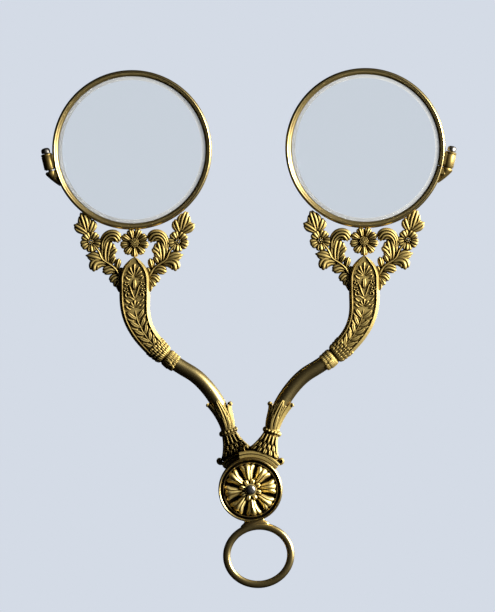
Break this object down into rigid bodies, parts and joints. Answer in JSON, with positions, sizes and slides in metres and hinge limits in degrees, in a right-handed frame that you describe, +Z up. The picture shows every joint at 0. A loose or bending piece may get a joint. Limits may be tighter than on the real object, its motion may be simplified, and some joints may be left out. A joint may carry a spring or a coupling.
{
  "type": "scissors spectacles",
  "caption": "Folding hand-held spectacles: round lenses in split rims on leafy curved arms that fold lens over lens about a rosette hub, with a hanging ring.",
  "frame": {"origin": "centre of the pivot rivet, midway between the two arms' layers, where the hand holds the hub", "axes": "+Z up from the pivot towards the lenses, +X to the viewer's right, +Y away from the viewer along the rivet"},
  "size_m": [0.1128, 0.0108, 0.1399],
  "materials": {
    "gilt_brass": "fire-gilt cast brass, chased, burnished on the high parts and dark in the hollows",
    "lens_glass": "clear polished glass with a ground bevel",
    "steel": "plain turned steel"
  },
  "bodies": {
    "hub": {"pivot_rivet": "steel", "front_bezel": "gilt_brass", "rosette": "gilt_brass", "back_cap": "gilt_brass", "front_washer": "gilt_brass", "back_washer": "gilt_brass"},
    "right_arm": {"right_rim": "gilt_brass", "right_lens": "lens_glass", "right_upper_block": "gilt_brass", "right_lower_block": "gilt_brass", "right_rim_screw": "steel", "right_daisy": "gilt_brass", "right_inner_spray": "gilt_brass", "right_outer_spray": "gilt_brass", "right_panel": "gilt_brass", "right_collar": "gilt_brass", "right_rod": "gilt_brass", "right_sheath": "gilt_brass", "right_foot": "gilt_brass"},
    "left_arm": {"left_rim": "gilt_brass", "left_lens": "lens_glass", "left_upper_block": "gilt_brass", "left_lower_block": "gilt_brass", "left_rim_screw": "steel", "left_daisy": "gilt_brass", "left_inner_spray": "gilt_brass", "left_outer_spray": "gilt_brass", "left_panel": "gilt_brass", "left_collar": "gilt_brass", "left_rod": "gilt_brass", "left_sheath": "gilt_brass", "left_foot": "gilt_brass"},
    "ring": {"hanging_ring": "gilt_brass", "ring_tang": "gilt_brass"}
  },
  "joints": [
    {"name": "right_arm_fold", "type": "hinge", "parent": "hub", "child": "right_arm", "pos_m": [0, 0, 0], "axis": [0, -1, 0], "range_deg": [-12, 18.9]},
    {"name": "left_arm_fold", "type": "hinge", "parent": "hub", "child": "left_arm", "pos_m": [0, 0, 0], "axis": [0, 1, 0], "range_deg": [-12, 18.9]},
    {"name": "ring_swing", "type": "hinge", "parent": "hub", "child": "ring", "pos_m": [0, 0, 0], "axis": [0, 1, 0], "range_deg": [-53.2, 66.8]}
  ]
}
